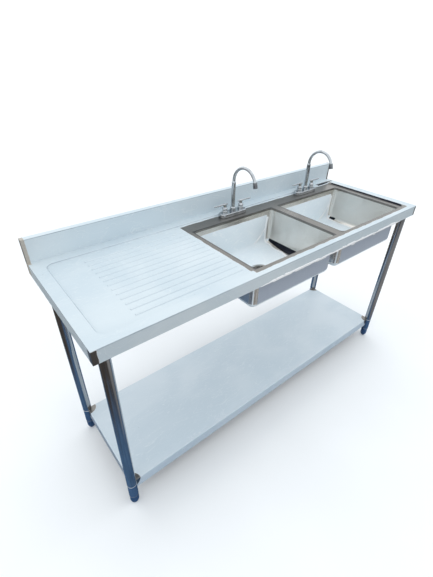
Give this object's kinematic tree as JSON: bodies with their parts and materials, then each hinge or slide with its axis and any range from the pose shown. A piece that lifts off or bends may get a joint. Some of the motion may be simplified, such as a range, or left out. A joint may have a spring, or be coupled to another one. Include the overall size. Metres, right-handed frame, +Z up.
{
  "type": "two-bowl sink table with left drainboard",
  "caption": "Freestanding stainless catering sink table: ribbed left drainboard, deep bowls, rear upstand, gooseneck taps, tube legs and undershelf.",
  "frame": {"origin": "on the floor under the middle of the worktop's outline", "axes": "+X along the worktop from the drainboard to the bowls, +Y from the front apron to the rear upstand, +Z up"},
  "size_m": [1.8, 0.6, 1.1485],
  "materials": {
    "sheet_steel": "number 4 brushed stainless under pale blue-white protective film, bare round the bowls",
    "bowl_steel": "satin stainless, film on the rear wall, floor and outside",
    "shelf_steel": "brushed stainless under protective film",
    "channel_steel": "mill finish stainless channel",
    "polished_tube": "bright polished tube",
    "foot_steel": "bright turned foot",
    "dark_screws": "socket set screw",
    "insert_plastic": "grey moulded insert",
    "chrome": "bright chrome plate",
    "aerator": "chrome with a dark screen",
    "brass": "plain machined brass",
    "rubber": "black seal rubber",
    "waste_steel": "polished stainless strainer"
  },
  "bodies": {
    "table": {"worktop": "sheet_steel", "splash_cap_left": "sheet_steel", "splash_cap_right": "sheet_steel", "bowl_left": "bowl_steel", "bowl_right": "bowl_steel", "cross_channel_left": "channel_steel", "cross_channel_right": "channel_steel", "drainboard_channel": "channel_steel", "shelf_channel": "channel_steel", "leg_plug_front_left": "channel_steel", "leg_plug_front_right": "channel_steel", "leg_plug_rear_left": "channel_steel", "leg_plug_rear_right": "channel_steel", "leg_front_left": "polished_tube", "leg_front_right": "polished_tube", "leg_rear_left": "polished_tube", "leg_rear_right": "polished_tube", "leg_screws": "dark_screws", "undershelf": "shelf_steel", "shelf_corner_front_left": "polished_tube", "shelf_corner_front_right": "polished_tube", "shelf_corner_rear_left": "polished_tube", "shelf_corner_rear_right": "polished_tube", "foot_insert_front_left": "insert_plastic", "foot_insert_front_right": "insert_plastic", "foot_insert_rear_left": "insert_plastic", "foot_insert_rear_right": "insert_plastic", "tap_left_base": "chrome", "tap_left_gasket": "rubber", "tap_left_spout_nut": "chrome", "waste_left_body": "waste_steel", "waste_left_tailpiece": "waste_steel", "tap_right_base": "chrome", "tap_right_gasket": "rubber", "tap_right_spout_nut": "chrome", "waste_right_body": "waste_steel", "waste_right_tailpiece": "waste_steel", "tap_bonnets": "chrome", "tap_lock_nuts": "brass", "waste_seals": "rubber", "waste_ring_nuts": "brass", "waste_couplings": "brass"},
    "foot_front_left": {"bullet_foot_front_left": "foot_steel"},
    "foot_front_right": {"bullet_foot_front_right": "foot_steel"},
    "foot_rear_left": {"bullet_foot_rear_left": "foot_steel"},
    "foot_rear_right": {"bullet_foot_rear_right": "foot_steel"},
    "left_spout": {"tap_left_spout": "chrome", "tap_left_aerator": "aerator"},
    "left_hot_handle": {"tap_left_hot_stem": "brass", "tap_left_hot_lever": "chrome"},
    "left_cold_handle": {"tap_left_cold_stem": "brass", "tap_left_cold_lever": "chrome"},
    "left_basket": {"waste_left_basket": "waste_steel"},
    "right_spout": {"tap_right_spout": "chrome", "tap_right_aerator": "aerator"},
    "right_hot_handle": {"tap_right_hot_stem": "brass", "tap_right_hot_lever": "chrome"},
    "right_cold_handle": {"tap_right_cold_stem": "brass", "tap_right_cold_lever": "chrome"},
    "right_basket": {"waste_right_basket": "waste_steel"}
  },
  "joints": [
    {"name": "left_spout_swivel", "type": "hinge", "parent": "table", "child": "left_spout", "pos_m": [0.033, 0.2, 0.93], "axis": [0, 0, 1], "continuous": true},
    {"name": "left_hot_quarter_turn", "type": "hinge", "parent": "table", "child": "left_hot_handle", "pos_m": [-0.0178, 0.2, 0.959], "axis": [0, 0, 1], "range_deg": [0, 90]},
    {"name": "left_cold_quarter_turn", "type": "hinge", "parent": "table", "child": "left_cold_handle", "pos_m": [0.0838, 0.2, 0.959], "axis": [0, 0, -1], "range_deg": [0, 90]},
    {"name": "left_basket_lift", "type": "slide", "parent": "table", "child": "left_basket", "axis": [0, 0, 1], "range_m": [0, 0.25]},
    {"name": "right_spout_swivel", "type": "hinge", "parent": "table", "child": "right_spout", "pos_m": [0.584, 0.2, 0.93], "axis": [0, 0, 1], "continuous": true},
    {"name": "right_hot_quarter_turn", "type": "hinge", "parent": "table", "child": "right_hot_handle", "pos_m": [0.5332, 0.2, 0.959], "axis": [0, 0, 1], "range_deg": [0, 90]},
    {"name": "right_cold_quarter_turn", "type": "hinge", "parent": "table", "child": "right_cold_handle", "pos_m": [0.6348, 0.2, 0.959], "axis": [0, 0, -1], "range_deg": [0, 90]},
    {"name": "right_basket_lift", "type": "slide", "parent": "table", "child": "right_basket", "axis": [0, 0, 1], "range_m": [0, 0.25]},
    {"name": "foot_front_left_level", "type": "slide", "parent": "table", "child": "foot_front_left", "axis": [0, 0, -1], "range_m": [0, 0.025]},
    {"name": "foot_front_right_level", "type": "slide", "parent": "table", "child": "foot_front_right", "axis": [0, 0, -1], "range_m": [0, 0.025]},
    {"name": "foot_rear_left_level", "type": "slide", "parent": "table", "child": "foot_rear_left", "axis": [0, 0, -1], "range_m": [0, 0.025]},
    {"name": "foot_rear_right_level", "type": "slide", "parent": "table", "child": "foot_rear_right", "axis": [0, 0, -1], "range_m": [0, 0.025]}
  ]
}
